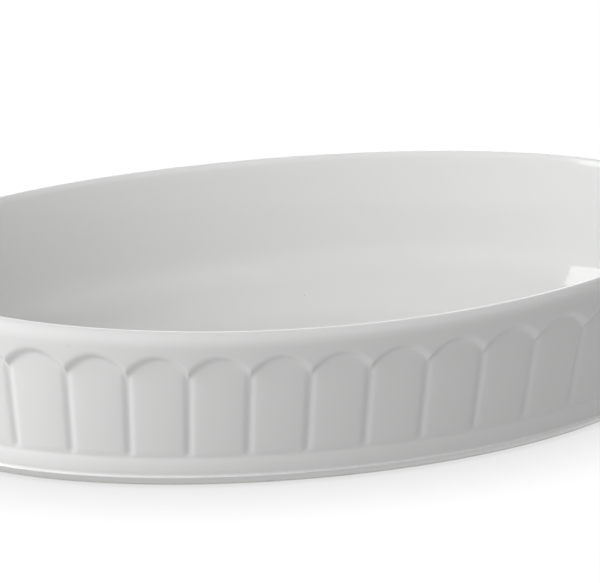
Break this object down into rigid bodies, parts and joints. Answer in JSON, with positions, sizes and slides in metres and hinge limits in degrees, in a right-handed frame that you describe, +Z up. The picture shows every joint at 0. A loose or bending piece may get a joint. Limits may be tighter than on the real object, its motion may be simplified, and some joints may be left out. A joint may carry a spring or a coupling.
{
  "type": "oval baking dish",
  "caption": "Deep oval porcelain baking dish with a rolled rim, a raked wall in a relief of arched panels, and a bare foot ring. Holds food in the oven and at the table.",
  "frame": {"origin": "on the table, under the middle of the dish", "axes": "+X along the dish's length, +Y across it, +Z up out of its mouth"},
  "size_m": [0.36, 0.22, 0.0754],
  "materials": {
    "bisque": "fired and unglazed, fine and matt",
    "glaze": "clear glossy glaze over white porcelain"
  },
  "bodies": {
    "root": {"porcelain_body": "bisque", "glaze_coat": "glaze", "underside_glaze": "glaze"}
  },
  "joints": []
}
